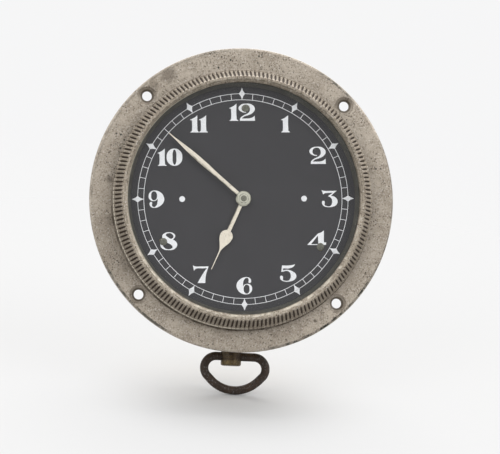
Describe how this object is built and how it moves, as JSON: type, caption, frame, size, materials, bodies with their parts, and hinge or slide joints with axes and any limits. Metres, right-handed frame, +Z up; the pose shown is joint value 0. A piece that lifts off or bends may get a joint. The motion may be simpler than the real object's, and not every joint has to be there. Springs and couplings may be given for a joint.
{
  "type": "dashboard clock",
  "caption": "Round panel-mounted dashboard clock with black dial, reeded bezel, and a D-ring stem below that winds it and sets the hands.",
  "frame": {"origin": "centre of the mounting flange's rear face, on the axis of the hands", "axes": "+X right and +Z up as the driver sees it, +Y backwards through the panel; the dial faces -Y"},
  "size_m": [0.1, 0.0319, 0.1135],
  "materials": {
    "aged_nickel": "worn nickel plate, pitted",
    "brass": "aged brass",
    "steel": "polished steel",
    "blued_steel": "blued steel",
    "glass": "clear",
    "dial_black": "matt black paint",
    "cream_paint": "aged cream paint",
    "dark_bronze": "dark patina",
    "olive_brass": "dull brown patina"
  },
  "bodies": {
    "case": {"mounting_flange": "aged_nickel", "case_shell": "brass", "back_cover": "brass", "back_cover_screws": "steel", "bezel": "aged_nickel", "glass": "glass", "spacer_ring": "dial_black", "dial": "dial_black", "dial_screws": "dial_black", "dial_posts": "brass", "front_plate": "brass", "back_plate": "brass", "pillars": "brass", "plate_screws": "steel", "minute_wheel_stud": "steel", "crown_wheel_stud": "blued_steel", "upper_stem_cock": "brass", "lower_stem_cock": "brass", "cock_screws": "blued_steel", "stem_spring": "blued_steel", "stem_bush": "olive_brass", "balance_cock": "brass", "hairspring": "blued_steel", "click_spring": "blued_steel", "click_screw": "blued_steel"},
    "minute_hand": {"minute_hand": "cream_paint", "cannon_pinion": "steel", "centre_arbor": "steel", "clutch_spring": "blued_steel", "setting_wheel": "steel"},
    "centre": {"centre_wheel": "brass"},
    "hour_hand": {"hour_hand": "cream_paint", "hour_wheel": "brass"},
    "minute_wheel": {"minute_wheel": "brass"},
    "intermediate": {"intermediate_wheel": "brass", "intermediate_arbor": "steel"},
    "barrel": {"barrel": "brass", "barrel_cover": "brass", "mainspring": "blued_steel"},
    "barrel_arbor": {"barrel_arbor": "steel", "ratchet_wheel": "steel", "ratchet_screw": "blued_steel"},
    "third": {"third_wheel": "brass", "third_arbor": "steel"},
    "fourth": {"fourth_wheel": "brass", "fourth_arbor": "steel"},
    "escape": {"escape_wheel": "brass", "escape_arbor": "steel"},
    "pallet": {"pallet_lever": "steel"},
    "balance": {"balance_wheel": "brass", "balance_staff": "steel"},
    "regulator": {"regulator": "steel"},
    "click": {"click": "steel"},
    "crown": {"crown_wheel": "steel"},
    "washer": {"thrust_washer": "brass"},
    "stem": {"winding_stem": "steel", "stem_pinions": "steel", "handle_boss": "olive_brass"},
    "loop": {"handle_loop": "dark_bronze"}
  },
  "joints": [
    {"name": "minute_turn", "type": "hinge", "parent": "case", "child": "minute_hand", "pos_m": [0, 0, 0], "axis": [0, 1, 0], "continuous": true},
    {"name": "hour_turn", "type": "hinge", "parent": "case", "child": "hour_hand", "pos_m": [0, 0, 0], "axis": [0, 1, 0], "continuous": true},
    {"name": "minute_wheel_turn", "type": "hinge", "parent": "case", "child": "minute_wheel", "pos_m": [-0.00677, 0, -0.00246], "axis": [0, 1, 0], "continuous": true},
    {"name": "escape_turn", "type": "hinge", "parent": "case", "child": "escape", "pos_m": [0.01533, 0, 0.00236], "axis": [0, 1, 0], "continuous": true},
    {"name": "fourth_turn", "type": "hinge", "parent": "case", "child": "fourth", "pos_m": [0.01275, 0, 0.00985], "axis": [0, 1, 0], "continuous": true},
    {"name": "third_turn", "type": "hinge", "parent": "case", "child": "third", "pos_m": [0.0045, 0, 0.00779], "axis": [0, 1, 0], "continuous": true},
    {"name": "centre_turn", "type": "hinge", "parent": "case", "child": "centre", "pos_m": [0, 0, 0], "axis": [0, 1, 0], "continuous": true},
    {"name": "intermediate_turn", "type": "hinge", "parent": "case", "child": "intermediate", "pos_m": [-0.00843, 0, 0.00316], "axis": [0, 1, 0], "continuous": true},
    {"name": "barrel_turn", "type": "hinge", "parent": "case", "child": "barrel", "pos_m": [-0.01329, 0, -0.01183], "axis": [0, 1, 0], "continuous": true},
    {"name": "pallet_swing", "type": "hinge", "parent": "case", "child": "pallet", "pos_m": [0.01792, 0, -0.00214], "axis": [0, 1, 0], "range_deg": [-5, 5]},
    {"name": "balance_swing", "type": "hinge", "parent": "case", "child": "balance", "pos_m": [0.01539, 0, -0.0093], "axis": [0, 1, 0], "range_deg": [-220, 220], "stiffness_Nm_per_rad": 0.0000025},
    {"name": "regulator_swing", "type": "hinge", "parent": "case", "child": "regulator", "pos_m": [0.01539, 0, -0.0093], "axis": [0, 1, 0], "range_deg": [-18, 18]},
    {"name": "click_lift", "type": "hinge", "parent": "case", "child": "click", "pos_m": [-0.01766, 0, -0.0234], "axis": [0, 1, 0], "range_deg": [-12, 0], "stiffness_Nm_per_rad": 0.0002, "springref_deg": 17.19},
    {"name": "crown_turn", "type": "hinge", "parent": "case", "child": "crown", "pos_m": [0, 0, -0.02], "axis": [0, 1, 0], "continuous": true},
    {"name": "ratchet_turn", "type": "hinge", "parent": "case", "child": "barrel_arbor", "pos_m": [-0.01329, 0, -0.01183], "axis": [0, 1, 0], "continuous": true},
    {"name": "stem_pull", "type": "slide", "parent": "case", "child": "washer", "axis": [0, 0, -1], "range_m": [0, 0.0022], "stiffness_N_per_m": 1500, "springref_m": -0.002, "deforming": ["stem_spring"]},
    {"name": "stem_turn", "type": "hinge", "parent": "washer", "child": "stem", "pos_m": [0, 0.0138, -0.0326], "axis": [0, 0, 1], "continuous": true},
    {"name": "loop_swing", "type": "hinge", "parent": "stem", "child": "loop", "pos_m": [0, 0.0138, -0.0509], "axis": [1, 0, 0], "range_deg": [-110, 110]}
  ],
  "couplings": [
    {"joint": "hour_turn", "follows": "minute_turn", "ratio": 0.083333},
    {"joint": "minute_wheel_turn", "follows": "minute_turn", "ratio": -0.33333},
    {"joint": "fourth_turn", "follows": "escape_turn", "ratio": -0.1},
    {"joint": "third_turn", "follows": "escape_turn", "ratio": 0.013333},
    {"joint": "centre_turn", "follows": "escape_turn", "ratio": -0.0016667},
    {"joint": "intermediate_turn", "follows": "escape_turn", "ratio": 0.00041667},
    {"joint": "barrel_turn", "follows": "escape_turn", "ratio": -0.000052083},
    {"joint": "crown_turn", "follows": "stem_turn", "ratio": -0.33333},
    {"joint": "ratchet_turn", "follows": "stem_turn", "ratio": 0.28571}
  ]
}
